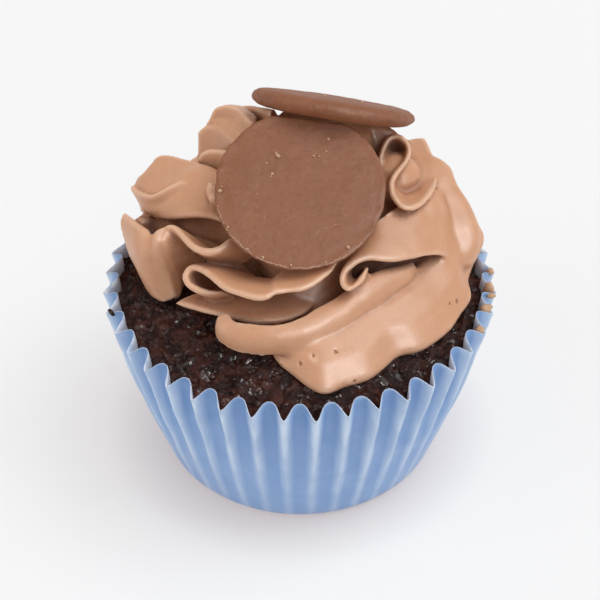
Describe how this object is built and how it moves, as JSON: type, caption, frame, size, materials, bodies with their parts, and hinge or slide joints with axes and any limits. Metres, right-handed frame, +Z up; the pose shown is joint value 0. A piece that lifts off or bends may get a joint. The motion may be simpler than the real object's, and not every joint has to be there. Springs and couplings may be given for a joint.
{
  "type": "chocolate cupcake",
  "caption": "Chocolate cupcake in a pleated paper case, topped with folded piped frosting and round chocolate buttons; rests on a flat base.",
  "frame": {"origin": "middle of the paper case's flat bottom", "axes": "+Z up through the cake, -Y towards the front, where the front button leans and the apron of frosting hangs lowest, +X to its right"},
  "size_m": [0.0718, 0.0718, 0.0716],
  "materials": {
    "paper": "matt greaseproof paper, light blue",
    "sponge": "moist dark chocolate crumb",
    "buttercream": "satin chocolate buttercream",
    "milk_chocolate": "satin milk chocolate"
  },
  "bodies": {
    "root": {"paper_case": "paper", "cake": "sponge", "frosting": "buttercream", "button_front": "milk_chocolate", "button_back": "milk_chocolate"}
  },
  "joints": []
}
